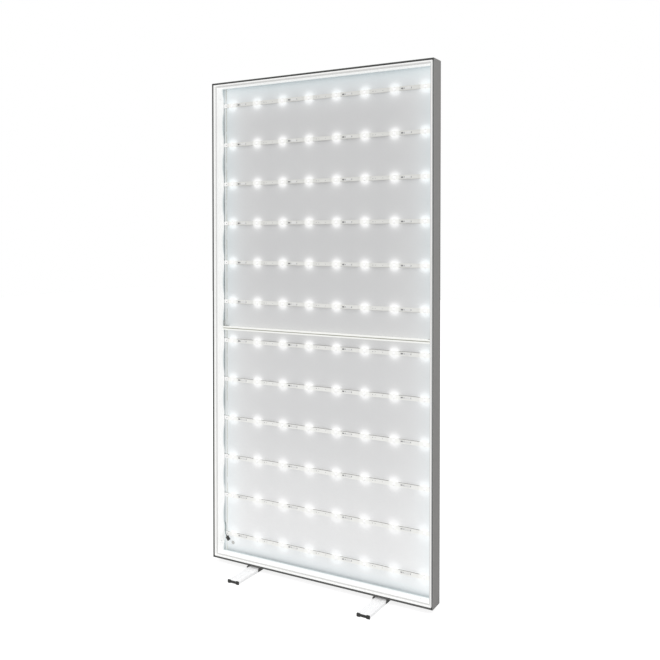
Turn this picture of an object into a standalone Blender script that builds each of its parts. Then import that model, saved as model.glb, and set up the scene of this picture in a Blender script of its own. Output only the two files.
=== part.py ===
"""Free-standing LED panel light: a mitred aluminium frame with a fabric groove on both faces,
a stretched rear liner, horizontal LED bars on two carrier rails, a mid crossbar and two swivel feet.

Metres, +Z up. The origin is on the floor, under the middle of the frame. The light shines
towards -Y. Across a frame member, "inset" is measured inward from its outer face and "depth"
backward from the front face.
"""
import math

import bmesh
import bpy
from mathutils import Matrix, Vector

# Overall sizes
FRAME_WIDTH = 1.000
FRAME_HEIGHT = 2.000
FRAME_DEPTH = 0.068
GROUND_CLEARANCE = 0.018

# Clearances
GAP = 0.0003                 # between pieces that touch
MITRE_GAP = 0.0003           # across each mitred corner
SHANK_CLEARANCE = 0.0003     # radial, round every screw and bolt

# Frame extrusion
WALL = 0.0021
OUTER_CHAMFER = 0.0006
RIM_WIDTH = 0.0024           # outer side of the fabric groove
GROOVE_WIDTH = 0.0046
GROOVE_DEPTH = 0.0120
LIP_WIDTH = 0.0034           # inner side of the fabric groove
LIP_SETBACK = 0.0015         # how far the lip lies behind the rim
LEDGE_WIDTH = 0.0070         # step inward from the lip to the inner wall
LEDGE_DEPTH = 0.0100         # from the rim to the ledge
SIDE_LINE_DEPTH = 0.0075     # decorative V line on the outer face
SIDE_LINE_WIDTH = 0.0016
SIDE_LINE_CUT = 0.0007

# Corner keys and their grub screws
KEY_LEG = 0.090
KEY_FIT = 0.0003
GRUB_RADIUS = 0.0025
GRUB_STANDS_OUT = 0.0012
GRUB_FROM_CORNER = 0.062
GRUB_SOCKET_RADIUS = 0.0014
GRUB_SOCKET_DEPTH = 0.0016

# Rear liner and its silicone edge beads
LINER_THICKNESS = 0.0007
BEAD_DEPTH = 0.0094

# LED bars and their carrier rails
LED_ROWS = 12
LEDS_PER_ROW = 8
ROW_MARGIN = 0.087           # from the frame's edge to the first row
LED_MARGIN = 0.059           # from the frame's edge to the first LED
BAR_HEIGHT = 0.0170
BAR_BASE = 0.0014
BAR_FLANGE = 0.0008          # thickness of the folded edges
BAR_FLANGE_RISE = 0.0007     # how far they stand in front of the base
BAR_END_GAP = 0.0010         # from the end of a bar to the frame wall
LENS_RADIUS = 0.0048
LENS_TOP_RADIUS = 0.0026
LENS_HEIGHT = 0.0019
LENS_SINK = 0.0004
LENS_SIDES = 10
RAIL_WIDTH = 0.0100
RAIL_THICKNESS = 0.0024
RAIL_LIP = 0.0009

# Crossbar and its end brackets
CROSSBAR_DROP = 0.030        # from the frame's middle down to the bar's middle
CROSSBAR_HEIGHT = 0.0150
CROSSBAR_THICKNESS = 0.0120
CROSSBAR_WALL = 0.0016
CROSSBAR_LINE_WIDTH = 0.0034
CROSSBAR_LINE_CUT = 0.0016
CROSSBAR_RAIL_GAP = 0.0005   # in front of the rails' lips
BRACKET_LEG = 0.024
BRACKET_THICKNESS = 0.0020
BRACKET_WIDTH = 0.0100
BRACKET_SCREW_OFFSET = 0.014
BRACKET_SCREW_RADIUS = 0.0020
BRACKET_HEAD_RADIUS = 0.0038
BRACKET_HEAD_HEIGHT = 0.0018
BRACKET_SCREW_LENGTH = 0.0060

# Wiring
LEAD_RADIUS = 0.0016
LEAD_WAVE = 0.0008
LEAD_WAVES = 11
LEAD_POINTS_PER_WAVE = 6
LEAD_TURN_FROM_WALL = 0.0032 # where the lead turns in behind the frame wall
LEAD_TURN_SHARE = 0.55       # how far up its bend that turn lies
LEAD_START = 0.36            # share of a row pitch above the last row where the lane starts
LEAD_BEND_POINTS = 8
LEAD_BEND_PULL = 0.4         # share of a bend's rise that its ends run straight
LEAD_ROUNDNESS = 2
SOCKET_LENGTH = 0.0190
SOCKET_WIDTH = 0.0130
SOCKET_THICKNESS = 0.0070
SOCKET_TILT = math.radians(38)
SOCKET_FROM_WALL = 0.0211    # its middle, from the frame's inner wall
SOCKET_FROM_BARS = 0.0030    # its back, from the crowns of the lenses
SOCKET_HEIGHT = 0.0695       # above the frame's underside
SOCKET_NOSE_LENGTH = 0.0050
SOCKET_NOSE_RADIUS = 0.0028
SOCKET_NOSE_TIP_RADIUS = 0.0020
SOCKET_MOUTH_DEPTH = 0.0066
SOCKET_EDGE = 0.0009
GROMMET_FROM_WALL = 0.0381
GROMMET_HEIGHT = 0.0500
GROMMET_BORE = 0.0036
GROMMET_BARREL = 0.0058
GROMMET_FLANGE = 0.0084
GROMMET_FLANGE_THICKNESS = 0.0005

# Feet
FOOT_SPACING = 0.580
FOOT_LENGTH = 0.352
FOOT_WIDTH = 0.0530
FOOT_HEIGHT = 0.0125
FOOT_LOBE = 0.0130           # width of the thicker band along each edge
FOOT_WAIST = 0.0022          # how far the middle is thinned, on each face
FOOT_WALL = 0.0018
FOOT_CORNER = 0.0020
FOOT_CORNER_EASE = 0.3       # share of the corner left outside its middle point
FOOT_RIBS = 3
FOOT_RIB_WIDTH = 0.0022
FOOT_RIB_HEIGHT = 0.0010
CAP_PLATE = 0.0030
CAP_OVERHANG = 0.0006
CAP_SPIGOT = 0.0090
SADDLE_CHEEK = 0.0030
SADDLE_CHEEK_DROP = 0.0080
SADDLE_CHEEK_PROUD = 0.0080  # how far the cheeks reach past the frame's faces
SADDLE_SETBACK = 0.0080      # how far its plate stops short of the frame's faces
BOLT_RADIUS = 0.0040
BOLT_HEAD_RADIUS = 0.0065
BOLT_HEAD_HEIGHT = 0.0044
BOLT_SOCKET_RADIUS = 0.0029
BOLT_SOCKET_DEPTH = 0.0026
BOLT_ACCESS_RADIUS = 0.0082
NUT_LENGTH = 0.040
NUT_THICKNESS = 0.0060

# Derived places
FRONT_Y = -FRAME_DEPTH / 2
FRAME_BOTTOM = GROUND_CLEARANCE
FRAME_TOP = FRAME_BOTTOM + FRAME_HEIGHT
FRAME_MIDDLE = FRAME_BOTTOM + FRAME_HEIGHT / 2
GROOVE_FAR = RIM_WIDTH + GROOVE_WIDTH
LIP_FAR = GROOVE_FAR + LIP_WIDTH
INNER_WALL = LIP_FAR + LEDGE_WIDTH
REAR_LEDGE = FRAME_DEPTH - LEDGE_DEPTH
CHAMBER_FAR = INNER_WALL - WALL
CHAMBER_NECK = GROOVE_FAR + WALL
CHAMBER_FRONT = GROOVE_DEPTH + WALL
POCKET_FRONT = LEDGE_DEPTH + WALL
LINER_FRONT = FRAME_DEPTH - LIP_SETBACK + GAP
RAIL_BACK = LINER_FRONT - GAP
RAIL_FRONT = RAIL_BACK - RAIL_THICKNESS
BAR_BACK = RAIL_FRONT - GAP
BAR_FRONT = BAR_BACK - BAR_BASE - BAR_FLANGE_RISE
ROW_PITCH = (FRAME_HEIGHT - 2 * ROW_MARGIN) / (LED_ROWS - 1)
LED_PITCH = (FRAME_WIDTH - 2 * LED_MARGIN) / (LEDS_PER_ROW - 1)
CROSSBAR_BACK = RAIL_FRONT - RAIL_LIP - CROSSBAR_RAIL_GAP
CROSSBAR_FRONT = CROSSBAR_BACK - CROSSBAR_THICKNESS
CROSSBAR_Z = FRAME_MIDDLE - CROSSBAR_DROP
SADDLE_TOP = FRAME_BOTTOM - GAP
FOOT_BOTTOM = CAP_OVERHANG
FOOT_TOP = FOOT_BOTTOM + FOOT_HEIGHT
SADDLE_BOTTOM = FOOT_TOP + GAP

ROUND_SIDES = 24
SMALL_ROUND_SIDES = 16
HEX_SIDES = 6
SMOOTH_ANGLE = math.radians(35)
WELD = 1e-6


def clear_scene():
    for item in list(bpy.data.objects):
        bpy.data.objects.remove(item, do_unlink=True)


def new_collection(name):
    group = bpy.data.collections.new(name)
    bpy.context.scene.collection.children.link(group)
    return group


def make_material(name, color, metallic, roughness, emission=0.0):
    material = bpy.data.materials.new(name)
    material.use_nodes = True
    shader = material.node_tree.nodes["Principled BSDF"]
    shader.inputs["Base Color"].default_value = (*color, 1.0)
    shader.inputs["Metallic"].default_value = metallic
    shader.inputs["Roughness"].default_value = roughness
    shader.inputs["Emission Color"].default_value = (1.0, 1.0, 1.0, 1.0)
    shader.inputs["Emission Strength"].default_value = emission
    material.diffuse_color = (*color, 1.0)
    return material


def material_anodised():
    return make_material("anodised_aluminium", (0.30, 0.31, 0.31), 0.9, 0.38)


def material_foot():
    return make_material("foot_aluminium", (0.78, 0.78, 0.79), 0.7, 0.35)


def material_steel():
    return make_material("zinc_steel", (0.55, 0.55, 0.56), 1.0, 0.30)


def material_white_metal():
    return make_material("white_coated_metal", (0.86, 0.86, 0.85), 0.0, 0.45)


def material_crossbar():
    return make_material("crossbar_white", (0.84, 0.84, 0.83), 0.0, 0.40)


def material_led():
    return make_material("led_board_white", (0.88, 0.88, 0.86), 0.0, 0.35, 0.3)


def material_liner():
    return make_material("white_liner_fabric", (0.82, 0.83, 0.84), 0.0, 0.90)


def material_silicone():
    return make_material("silicone", (0.80, 0.80, 0.78), 0.0, 0.55)


def material_black_plastic():
    return make_material("black_plastic", (0.022, 0.022, 0.020), 0.0, 0.50)


def material_white_rubber():
    return make_material("white_rubber", (0.78, 0.78, 0.76), 0.0, 0.70)


def material_lead():
    return make_material("grey_lead", (0.42, 0.43, 0.43), 0.0, 0.55)


def clean(mesh):
    """Weld coincident points and turn every face outward."""
    shape = bmesh.new()
    shape.from_mesh(mesh)
    bmesh.ops.remove_doubles(shape, verts=shape.verts[:], dist=WELD)
    bmesh.ops.recalc_face_normals(shape, faces=shape.faces[:])
    shape.to_mesh(mesh)
    shape.free()


def place(name, mesh, material, group, location=(0, 0, 0), turn_y=0.0):
    """Link a mesh as a named object, turned about Y and set in place."""
    item = bpy.data.objects.new(name, mesh)
    item.location = location
    item.rotation_euler = (0.0, turn_y, 0.0)
    group.objects.link(item)
    if material is not None and not mesh.materials:
        mesh.materials.append(material)
    return item


def outline_mesh(name, outlines, thickness):
    """A flat outline in XY, with its holes, extruded half its thickness each way along Z."""
    curve = bpy.data.curves.new(name, "CURVE")
    curve.dimensions = "2D"
    curve.fill_mode = "BOTH"
    curve.extrude = thickness / 2
    curve.render_resolution_u = 0
    for points in outlines:
        spline = curve.splines.new("POLY")
        spline.points.add(len(points) - 1)
        for point, (x, y) in zip(spline.points, points):
            point.co = (x, y, 0.0, 1.0)
        spline.use_cyclic_u = True
    return curve_to_mesh(name, curve)


def curve_to_mesh(name, curve):
    """The mesh that a curve evaluates to, welded; the curve itself is removed."""
    holder = bpy.data.objects.new(name, curve)
    bpy.context.scene.collection.objects.link(holder)
    bpy.context.view_layer.update()
    shape = holder.evaluated_get(bpy.context.evaluated_depsgraph_get())
    mesh = bpy.data.meshes.new_from_object(shape)
    mesh.name = name
    bpy.data.objects.remove(holder)
    clean(mesh)
    return mesh


def box_mesh(name, low, high):
    shape = bmesh.new()
    size = Vector(high) - Vector(low)
    middle = (Vector(high) + Vector(low)) / 2
    bmesh.ops.create_cube(shape, size=1.0, matrix=Matrix.Translation(middle) @ Matrix.Diagonal((*size, 1)))
    mesh = bpy.data.meshes.new(name)
    shape.to_mesh(mesh)
    shape.free()
    return mesh


def rods_mesh(name, rods, sides=ROUND_SIDES):
    """Closed round rods, each (start, end, radius at start, radius at end), in one mesh."""
    shape = bmesh.new()
    for start, end, radius_start, radius_end in rods:
        along = Vector(end) - Vector(start)
        turn = along.to_track_quat("Z", "Y").to_matrix().to_4x4()
        middle = Matrix.Translation((Vector(start) + Vector(end)) / 2)
        bmesh.ops.create_cone(shape, cap_ends=True, segments=sides, radius1=radius_start,
                              radius2=radius_end, depth=along.length, matrix=middle @ turn)
    mesh = bpy.data.meshes.new(name)
    shape.to_mesh(mesh)
    shape.free()
    return mesh


def combine(target, other, operation, cutters):
    """Cut, or join, another mesh with a target object; the other is placed in the target's frame."""
    tool = place("tool_" + target.name + "_" + other.name, other, None, cutters)
    tool.parent = target
    tool.hide_render = True
    tool.display_type = "WIRE"
    modifier = target.modifiers.new(operation.lower(), "BOOLEAN")
    modifier.operation = operation
    modifier.solver = "EXACT"
    modifier.object = tool


def smooth(item):
    item.data.shade_smooth()
    item.data.set_sharp_from_angle(angle=SMOOTH_ANGLE)


def bevel(item, width, segments=2):
    modifier = item.modifiers.new("edges", "BEVEL")
    modifier.width = width
    modifier.segments = segments
    modifier.limit_method = "ANGLE"


def rectangle(low_x, low_y, high_x, high_y):
    return [(low_x, low_y), (high_x, low_y), (high_x, high_y), (low_x, high_y)]


def frame_outline():
    """The frame extrusion's section as (inset, depth), walked round its outside."""
    back = FRAME_DEPTH
    half_line = SIDE_LINE_WIDTH / 2
    return [
        (0.0, OUTER_CHAMFER),
        (OUTER_CHAMFER, 0.0),
        (RIM_WIDTH, 0.0),
        (RIM_WIDTH, GROOVE_DEPTH),
        (GROOVE_FAR, GROOVE_DEPTH),
        (GROOVE_FAR, LIP_SETBACK),
        (LIP_FAR, LIP_SETBACK),
        (LIP_FAR, LEDGE_DEPTH),
        (INNER_WALL, LEDGE_DEPTH),
        (INNER_WALL, REAR_LEDGE),
        (LIP_FAR, REAR_LEDGE),
        (LIP_FAR, back - LIP_SETBACK),
        (GROOVE_FAR, back - LIP_SETBACK),
        (GROOVE_FAR, back - GROOVE_DEPTH),
        (RIM_WIDTH, back - GROOVE_DEPTH),
        (RIM_WIDTH, back),
        (OUTER_CHAMFER, back),
        (0.0, back - OUTER_CHAMFER),
        (0.0, back - SIDE_LINE_DEPTH + half_line),
        (SIDE_LINE_CUT, back - SIDE_LINE_DEPTH),
        (0.0, back - SIDE_LINE_DEPTH - half_line),
        (0.0, SIDE_LINE_DEPTH + half_line),
        (SIDE_LINE_CUT, SIDE_LINE_DEPTH),
        (0.0, SIDE_LINE_DEPTH - half_line),
    ]


def chamber_outline():
    """The hollow inside the frame extrusion, which is open at both mitred ends."""
    back = FRAME_DEPTH
    return [
        (WALL, CHAMBER_FRONT),
        (CHAMBER_NECK, CHAMBER_FRONT),
        (CHAMBER_NECK, POCKET_FRONT),
        (CHAMBER_FAR, POCKET_FRONT),
        (CHAMBER_FAR, back - POCKET_FRONT),
        (CHAMBER_NECK, back - POCKET_FRONT),
        (CHAMBER_NECK, back - CHAMBER_FRONT),
        (WALL, back - CHAMBER_FRONT),
    ]


def mitred_mesh(name, outlines, length):
    """A section (inset, depth) run along Z, with both ends cut at 45 degrees."""
    mesh = outline_mesh(name, outlines, length)
    retreat = MITRE_GAP / math.sqrt(2)
    for vertex in mesh.vertices:
        side = math.copysign(1.0, vertex.co.z)
        vertex.co.z = side * (length / 2 - vertex.co.x - retreat)
    return mesh


def frame_sides():
    """Each side of the frame: name, length, middle of its outer front edge, turn about Y."""
    return [
        ("left", FRAME_HEIGHT, (-FRAME_WIDTH / 2, FRONT_Y, FRAME_MIDDLE), 0.0),
        ("top", FRAME_WIDTH, (0.0, FRONT_Y, FRAME_TOP), math.pi / 2),
        ("right", FRAME_HEIGHT, (FRAME_WIDTH / 2, FRONT_Y, FRAME_MIDDLE), math.pi),
        ("bottom", FRAME_WIDTH, (0.0, FRONT_Y, FRAME_BOTTOM), -math.pi / 2),
    ]


def grub_places(length):
    """Where the two grub screws of a member sit along it."""
    return [side * (length / 2 - GRUB_FROM_CORNER) for side in (-1, 1)]


def build_frame(parts, cutters, alloy):
    for side, length, corner, turn in frame_sides():
        mesh = mitred_mesh("frame_profile_" + side, [frame_outline(), chamber_outline()], length)
        member = place("frame_profile_" + side, mesh, alloy, parts, corner, turn)
        bore = GRUB_RADIUS + SHANK_CLEARANCE
        holes = []
        for along in grub_places(length):
            start = (CHAMBER_FAR - WALL, FRAME_DEPTH / 2, along)
            end = (INNER_WALL + WALL, FRAME_DEPTH / 2, along)
            holes.append((start, end, bore, bore))
        if side == "bottom":
            bore = BOLT_RADIUS + SHANK_CLEARANCE
            for along in (-FOOT_SPACING / 2, FOOT_SPACING / 2):
                start = (-WALL, FRAME_DEPTH / 2, along)
                end = (2 * WALL, FRAME_DEPTH / 2, along)
                holes.append((start, end, bore, bore))
        combine(member, rods_mesh("holes", holes), "DIFFERENCE", cutters)


def build_corner_keys(parts, steel):
    """An L key slides into the chambers of the two members that meet at each corner."""
    near = WALL + KEY_FIT
    far = CHAMBER_FAR - KEY_FIT
    outline = [(near, near), (KEY_LEG, near), (KEY_LEG, far), (far, far), (far, KEY_LEG), (near, KEY_LEG)]
    thickness = FRAME_DEPTH - 2 * CHAMBER_FRONT - 2 * KEY_FIT
    mesh = outline_mesh("corner_key", [outline], thickness)
    mesh.transform(Matrix.Rotation(math.pi / 2, 4, "X"))
    corners = [
        ("bottom_left", -1, FRAME_BOTTOM, 0.0),
        ("top_left", -1, FRAME_TOP, math.pi / 2),
        ("top_right", 1, FRAME_TOP, math.pi),
        ("bottom_right", 1, FRAME_BOTTOM, -math.pi / 2),
    ]
    for name, side, height, turn in corners:
        place("corner_key_" + name, mesh, steel, parts, (side * FRAME_WIDTH / 2, 0.0, height), turn)


def build_grub_screws(parts, cutters, steel):
    for side, length, corner, turn in frame_sides():
        for number, along in enumerate(grub_places(length), start=1):
            tip = (CHAMBER_FAR, FRAME_DEPTH / 2, along)
            top = (INNER_WALL + GRUB_STANDS_OUT, FRAME_DEPTH / 2, along)
            floor = (top[0] - GRUB_SOCKET_DEPTH, FRAME_DEPTH / 2, along)
            above = (top[0] + GRUB_SOCKET_DEPTH, FRAME_DEPTH / 2, along)
            name = f"grub_screw_{side}_{number}"
            mesh = rods_mesh(name, [(tip, top, GRUB_RADIUS, GRUB_RADIUS)], SMALL_ROUND_SIDES)
            screw = place(name, mesh, steel, parts, corner, turn)
            hexagon = [(floor, above, GRUB_SOCKET_RADIUS, GRUB_SOCKET_RADIUS)]
            combine(screw, rods_mesh("hex", hexagon, HEX_SIDES), "DIFFERENCE", cutters)
            smooth(screw)


def build_liner(parts, cutters, fabric):
    half_width = FRAME_WIDTH / 2 - RIM_WIDTH - GAP
    edge = RIM_WIDTH + GAP
    low = (-half_width, FRONT_Y + LINER_FRONT, FRAME_BOTTOM + edge)
    high = (half_width, FRONT_Y + LINER_FRONT + LINER_THICKNESS, FRAME_TOP - edge)
    liner = place("rear_liner", box_mesh("rear_liner", low, high), fabric, parts)
    x, z = grommet_centre()
    start = (x, FRONT_Y + LINER_FRONT - LINER_THICKNESS, z)
    end = (x, FRONT_Y + LINER_FRONT + 2 * LINER_THICKNESS, z)
    hole = GROMMET_BARREL + GAP
    combine(liner, rods_mesh("cable_hole", [(start, end, hole, hole)]), "DIFFERENCE", cutters)


def build_beads(parts, silicone):
    """The silicone strips sewn to the liner's edges, pressed into the rear groove."""
    top = LINER_FRONT - GAP
    section = rectangle(RIM_WIDTH + GAP, top - BEAD_DEPTH, GROOVE_FAR - GAP, top)
    for side, length, corner, turn in frame_sides():
        mesh = mitred_mesh("liner_bead_" + side, [section], length)
        place("liner_bead_" + side, mesh, silicone, parts, corner, turn)


def build_rails(parts, white):
    """Flat channels up both sides, their ends in the frame's rear recess; the LED bars cross them."""
    length = FRAME_HEIGHT - 2 * (LIP_FAR + GAP)
    near = INNER_WALL + GAP
    far = near + RAIL_WIDTH
    lip_front = RAIL_FRONT - RAIL_LIP
    outline = [
        (near, lip_front),
        (near + RAIL_LIP, lip_front),
        (near + RAIL_LIP, RAIL_FRONT),
        (far, RAIL_FRONT),
        (far, RAIL_BACK),
        (near, RAIL_BACK),
    ]
    for side, sign, turn in (("left", -1, 0.0), ("right", 1, math.pi)):
        mesh = outline_mesh("carrier_rail_" + side, [outline], length)
        edge = (sign * FRAME_WIDTH / 2, FRONT_Y, FRAME_MIDDLE)
        place("carrier_rail_" + side, mesh, white, parts, edge, turn)


def row_height(row):
    """Middle of an LED row above the floor; row 1 is the top one."""
    return FRAME_MIDDLE + ((LED_ROWS + 1) / 2 - row) * ROW_PITCH


def led_x(index):
    return (index - (LEDS_PER_ROW - 1) / 2) * LED_PITCH


def bar_inset():
    """Where a bar starts: past the rail's lip, which it butts against."""
    return INNER_WALL + GAP + RAIL_LIP + BAR_END_GAP


def build_led_bars(parts, cutters, white):
    """Each bar is a shallow channel with a row of lenses bonded to its front."""
    length = FRAME_WIDTH - 2 * bar_inset()
    half = BAR_HEIGHT / 2
    base_front = BAR_BACK - BAR_BASE
    edge_front = base_front - BAR_FLANGE_RISE
    outline = [
        (-half, BAR_BACK),
        (-half, edge_front),
        (-half + BAR_FLANGE, edge_front),
        (-half + BAR_FLANGE, base_front),
        (half - BAR_FLANGE, base_front),
        (half - BAR_FLANGE, edge_front),
        (half, edge_front),
        (half, BAR_BACK),
    ]
    mesh = outline_mesh("led_bar", [outline], length)
    lenses = []
    for index in range(LEDS_PER_ROW):
        foot = (0.0, base_front + LENS_SINK, led_x(index))
        crown = (0.0, base_front - LENS_HEIGHT, led_x(index))
        lenses.append((foot, crown, LENS_RADIUS, LENS_TOP_RADIUS))
    lens_mesh = rods_mesh("lenses", lenses, LENS_SIDES)
    for row in range(1, LED_ROWS + 1):
        bar = place(f"led_bar_{row:02d}", mesh, white, parts, (0.0, FRONT_Y, row_height(row)), -math.pi / 2)
        combine(bar, lens_mesh, "UNION", cutters)


def build_crossbar(parts, cutters, white, steel):
    """A hollow bar across the middle, screwed down to an angle bracket at each end."""
    half = CROSSBAR_HEIGHT / 2
    half_line = CROSSBAR_LINE_WIDTH / 2
    front = CROSSBAR_FRONT
    back = CROSSBAR_BACK
    cut = front + CROSSBAR_LINE_CUT
    wall = CROSSBAR_WALL
    outline = [
        (-half, front),
        (-half_line, front),
        (-half_line, cut),
        (half_line, cut),
        (half_line, front),
        (half, front),
        (half, back),
        (-half, back),
    ]
    hollow = rectangle(-half + wall, cut + wall, half - wall, back - wall)
    length = FRAME_WIDTH - 2 * (INNER_WALL + GAP)
    mesh = outline_mesh("crossbar", [outline, hollow], length)
    bar = place("crossbar", mesh, white, parts, (0.0, FRONT_Y, CROSSBAR_Z), -math.pi / 2)
    depth = (front + back) / 2
    bore = BRACKET_SCREW_RADIUS + SHANK_CLEARANCE
    holes = []
    for along in crossbar_screw_places():
        holes.append(((half - 2 * wall, depth, along), (half + wall, depth, along), bore, bore))
    combine(bar, rods_mesh("screw_holes", holes, SMALL_ROUND_SIDES), "DIFFERENCE", cutters)
    build_brackets(parts, cutters, steel, depth)


def crossbar_screw_places():
    along = FRAME_WIDTH / 2 - INNER_WALL - GAP - BRACKET_SCREW_OFFSET
    return (-along, along)


def build_brackets(parts, cutters, steel, depth):
    """Angle brackets: one leg up the frame wall, one along the top of the crossbar."""
    near = INNER_WALL + GAP
    low = CROSSBAR_HEIGHT / 2 + GAP
    top = low + BRACKET_LEG
    outline = [
        (near, low),
        (near + BRACKET_LEG, low),
        (near + BRACKET_LEG, low + BRACKET_THICKNESS),
        (near + BRACKET_THICKNESS, low + BRACKET_THICKNESS),
        (near + BRACKET_THICKNESS, top),
        (near, top),
    ]
    screw_x = near + BRACKET_SCREW_OFFSET
    bore = BRACKET_SCREW_RADIUS + SHANK_CLEARANCE
    head_low = low + BRACKET_THICKNESS + GAP
    head_top = head_low + BRACKET_HEAD_HEIGHT
    for side, sign in (("left", 1), ("right", -1)):
        points = [(sign * x, z) for x, z in outline]
        mesh = outline_mesh("crossbar_bracket_" + side, [points], BRACKET_WIDTH)
        mesh.transform(Matrix.Translation((0, depth, 0)) @ Matrix.Rotation(math.pi / 2, 4, "X"))
        corner = (-sign * FRAME_WIDTH / 2, FRONT_Y, CROSSBAR_Z)
        bracket = place("crossbar_bracket_" + side, mesh, steel, parts, corner)
        x = sign * screw_x
        hole = [((x, depth, low - GAP), (x, depth, head_low + GAP), bore, bore)]
        combine(bracket, rods_mesh("screw_hole", hole, SMALL_ROUND_SIDES), "DIFFERENCE", cutters)
        shank_end = (x, depth, head_low - BRACKET_SCREW_LENGTH)
        shank = [(shank_end, (x, depth, head_top - GAP), BRACKET_SCREW_RADIUS, BRACKET_SCREW_RADIUS)]
        head = [((x, depth, head_low), (x, depth, head_top), BRACKET_HEAD_RADIUS, BRACKET_HEAD_RADIUS)]
        name = "crossbar_screw_" + side
        screw = place(name, rods_mesh(name, shank, SMALL_ROUND_SIDES), steel, parts, corner)
        combine(screw, rods_mesh("head", head, SMALL_ROUND_SIDES), "UNION", cutters)
        smooth(screw)


def tube_mesh(name, points, radius):
    """A round lead along a smooth line of points, with closed ends."""
    curve = bpy.data.curves.new(name, "CURVE")
    curve.dimensions = "3D"
    curve.bevel_depth = radius
    curve.bevel_resolution = LEAD_ROUNDNESS
    curve.use_fill_caps = True
    curve.render_resolution_u = 0
    spline = curve.splines.new("POLY")
    spline.points.add(len(points) - 1)
    for point, place_at in zip(spline.points, points):
        point.co = (*place_at, 1.0)
    return curve_to_mesh(name, curve)


def bezier(start, leave, arrive, end, count):
    """Points along one cubic curve, leaving out its last."""
    points = []
    for step in range(count):
        t = step / count
        weights = ((1 - t) ** 3, 3 * t * (1 - t) ** 2, 3 * t * t * (1 - t), t ** 3)
        pulls = (start, leave, arrive, end)
        points.append(sum((w * Vector(p) for w, p in zip(weights, pulls)), Vector()))
    return points


def lead_lane():
    """The recess behind the left frame wall that the lead climbs in, as X and Y."""
    x = -FRAME_WIDTH / 2 + INNER_WALL - GAP - LEAD_RADIUS - LEAD_WAVE
    return x, FRONT_Y + (REAR_LEDGE + RAIL_FRONT - RAIL_LIP) / 2


def socket_centre():
    x = -FRAME_WIDTH / 2 + INNER_WALL + SOCKET_FROM_WALL
    y = FRONT_Y + BAR_FRONT - LENS_HEIGHT - SOCKET_THICKNESS / 2 - SOCKET_FROM_BARS
    return Vector((x, y, FRAME_BOTTOM + SOCKET_HEIGHT))


def socket_direction():
    """The way the socket's nose points: up and towards the left wall."""
    return Vector((-math.sin(SOCKET_TILT), 0.0, math.cos(SOCKET_TILT)))


def build_harness(parts, grey):
    """The lead leaves the socket, turns in behind the frame wall and climbs past every row."""
    lane_x, lane_y = lead_lane()
    nose = socket_centre() + socket_direction() * (SOCKET_LENGTH / 2 + SOCKET_NOSE_LENGTH + GAP)
    bottom = row_height(LED_ROWS) + LEAD_START * ROW_PITCH
    climb = row_height(1) - bottom
    turn_x = -FRAME_WIDTH / 2 + INNER_WALL + LEAD_TURN_FROM_WALL
    turn = Vector((turn_x, lane_y, nose.z + LEAD_TURN_SHARE * (bottom - nose.z)))
    lane_start = Vector((lane_x, lane_y, bottom))
    pull = LEAD_BEND_PULL * (turn.z - nose.z)
    leave = nose + socket_direction() * pull
    arrive = turn - Vector((0, 0, pull))
    points = bezier(nose, leave, arrive, turn, LEAD_BEND_POINTS)
    pull = LEAD_BEND_PULL * (bottom - turn.z)
    leave = turn + Vector((0, 0, pull))
    arrive = lane_start - Vector((0, 0, pull))
    points += bezier(turn, leave, arrive, lane_start, LEAD_BEND_POINTS)
    steps = LEAD_WAVES * LEAD_POINTS_PER_WAVE
    for step in range(steps + 1):
        share = step / steps
        swing = LEAD_WAVE * math.sin(2 * math.pi * LEAD_WAVES * share)
        points.append(Vector((lane_x + swing, lane_y, bottom + climb * share)))
    mesh = tube_mesh("wiring_harness", points, LEAD_RADIUS)
    smooth(place("wiring_harness", mesh, grey, parts))


def build_socket(parts, cutters, black):
    """The low-voltage socket on the end of the harness."""
    half = SOCKET_LENGTH / 2
    size = (SOCKET_WIDTH / 2, SOCKET_THICKNESS / 2, half)
    mesh = box_mesh("dc_socket", [-value for value in size], size)
    socket = place("dc_socket", mesh, black, parts, socket_centre(), -SOCKET_TILT)
    bevel(socket, SOCKET_EDGE)
    nose_start = (0, 0, half - SOCKET_EDGE)
    nose_end = (0, 0, half + SOCKET_NOSE_LENGTH)
    nose = [(nose_start, nose_end, SOCKET_NOSE_RADIUS, SOCKET_NOSE_TIP_RADIUS)]
    combine(socket, rods_mesh("nose", nose, SMALL_ROUND_SIDES), "UNION", cutters)
    mouth_end = (0, 0, SOCKET_MOUTH_DEPTH - half)
    mouth = [((0, 0, -half - SOCKET_EDGE), mouth_end, SOCKET_NOSE_RADIUS, SOCKET_NOSE_RADIUS)]
    combine(socket, rods_mesh("mouth", mouth, SMALL_ROUND_SIDES), "DIFFERENCE", cutters)
    smooth(socket)


def grommet_centre():
    return (-FRAME_WIDTH / 2 + INNER_WALL + GROMMET_FROM_WALL, FRAME_BOTTOM + GROMMET_HEIGHT)


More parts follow.
